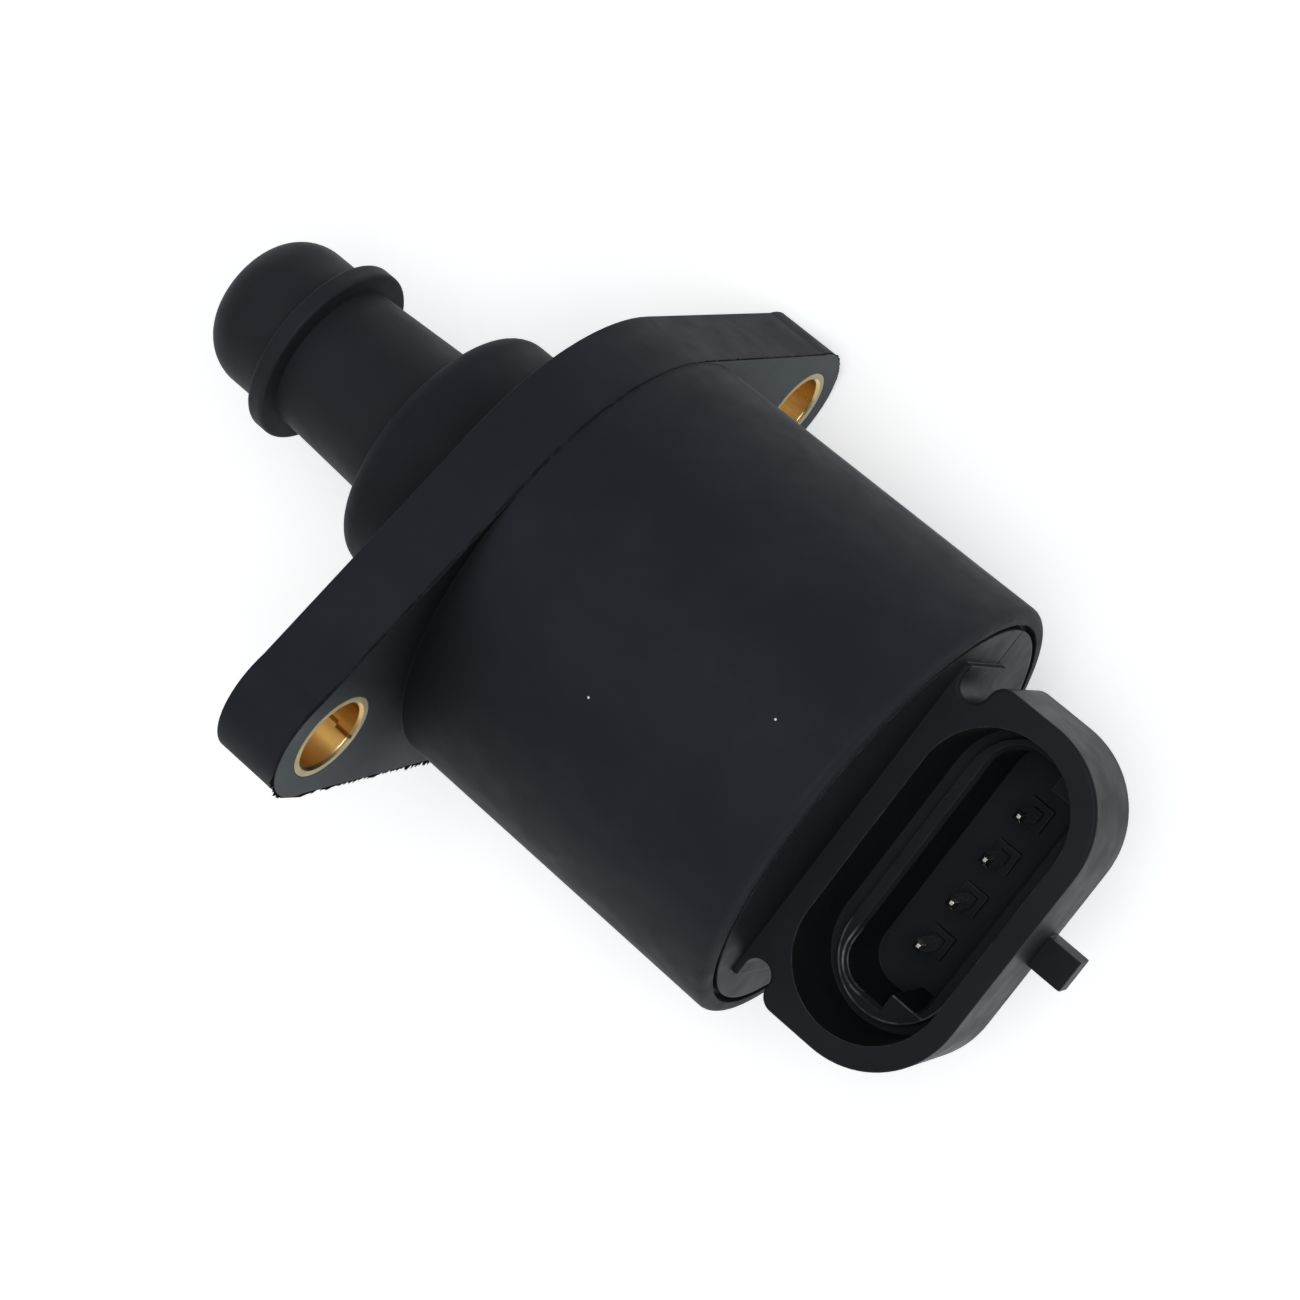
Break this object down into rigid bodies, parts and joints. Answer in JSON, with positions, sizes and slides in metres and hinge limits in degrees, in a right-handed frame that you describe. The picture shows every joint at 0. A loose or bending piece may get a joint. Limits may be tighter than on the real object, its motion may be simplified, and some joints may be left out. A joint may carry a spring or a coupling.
{
  "type": "idle air control valve",
  "caption": "Black plastic stepper valve: round motor body with a slanted two-ear flange, a round-nosed sliding plunger at the front and a keyed plug socket at the rear.",
  "frame": {"origin": "centre of the flange's mounting face, on the plunger's axis", "axes": "+X along the plunger's axis towards the plug end, so the nose points to -X; +Z the way the plug socket opens; +Y along the row of contact pins"},
  "size_m": [0.0788, 0.0418, 0.0478],
  "materials": {
    "housing_plastic": "satin moulded, fine grain",
    "cap_plastic": "satin moulded",
    "plunger_plastic": "satin moulded",
    "bush_brass": "rolled, bright",
    "nut_brass": "turned",
    "bush_bronze": "sintered, oiled",
    "screw_steel": "ground",
    "hub_plastic": "moulded, natural",
    "magnet": "pressed, dark grey",
    "bearing_steel": "polished",
    "cage_plastic": "moulded, natural",
    "stator_steel": "zinc plated, pressed",
    "bobbin_plastic": "moulded, natural",
    "coil_wire": "enamelled copper wire",
    "spring_steel": "hardened",
    "seal_rubber": "smooth",
    "contact_pin": "tin plated"
  },
  "bodies": {
    "valve_body": {"housing": "housing_plastic", "end_cap": "cap_plastic", "flange_bush_upper": "bush_brass", "flange_bush_lower": "bush_brass", "rear_bush": "bush_bronze", "bearing_outer_ring": "bearing_steel", "stator_front_cup": "stator_steel", "stator_front_plate": "stator_steel", "stator_rear_plate": "stator_steel", "stator_rear_cup": "stator_steel", "front_bobbin": "bobbin_plastic", "rear_bobbin": "bobbin_plastic", "front_coil": "coil_wire", "rear_coil": "coil_wire", "preload_washer": "spring_steel", "cap_seal": "seal_rubber", "terminal_1": "contact_pin", "terminal_2": "contact_pin", "terminal_3": "contact_pin", "terminal_4": "contact_pin"},
    "rotor": {"lead_screw": "screw_steel", "rotor_hub": "hub_plastic", "rotor_magnet": "magnet", "bearing_inner_ring": "bearing_steel"},
    "ball_set": {"bearing_balls": "bearing_steel", "bearing_cage": "cage_plastic"},
    "plunger": {"plunger_head": "plunger_plastic", "plunger_shank": "plunger_plastic", "plunger_nut": "nut_brass"}
  },
  "joints": [
    {"name": "rotor_spin", "type": "hinge", "parent": "valve_body", "child": "rotor", "pos_m": [0.0118, 0, 0], "axis": [1, 0, 0], "range_deg": [-2880, 720]},
    {"name": "plunger_slide", "type": "slide", "parent": "valve_body", "child": "plunger", "axis": [-1, 0, 0], "range_m": [-0.008, 0.002]},
    {"name": "cage_orbit", "type": "hinge", "parent": "valve_body", "child": "ball_set", "pos_m": [0.0118, 0, 0], "axis": [1, 0, 0], "range_deg": [-1040, 260]}
  ],
  "couplings": [
    {"joint": "plunger_slide", "follows": "rotor_spin", "m_per_rad": 0.00015915},
    {"joint": "cage_orbit", "follows": "rotor_spin", "ratio": 0.36087}
  ]
}
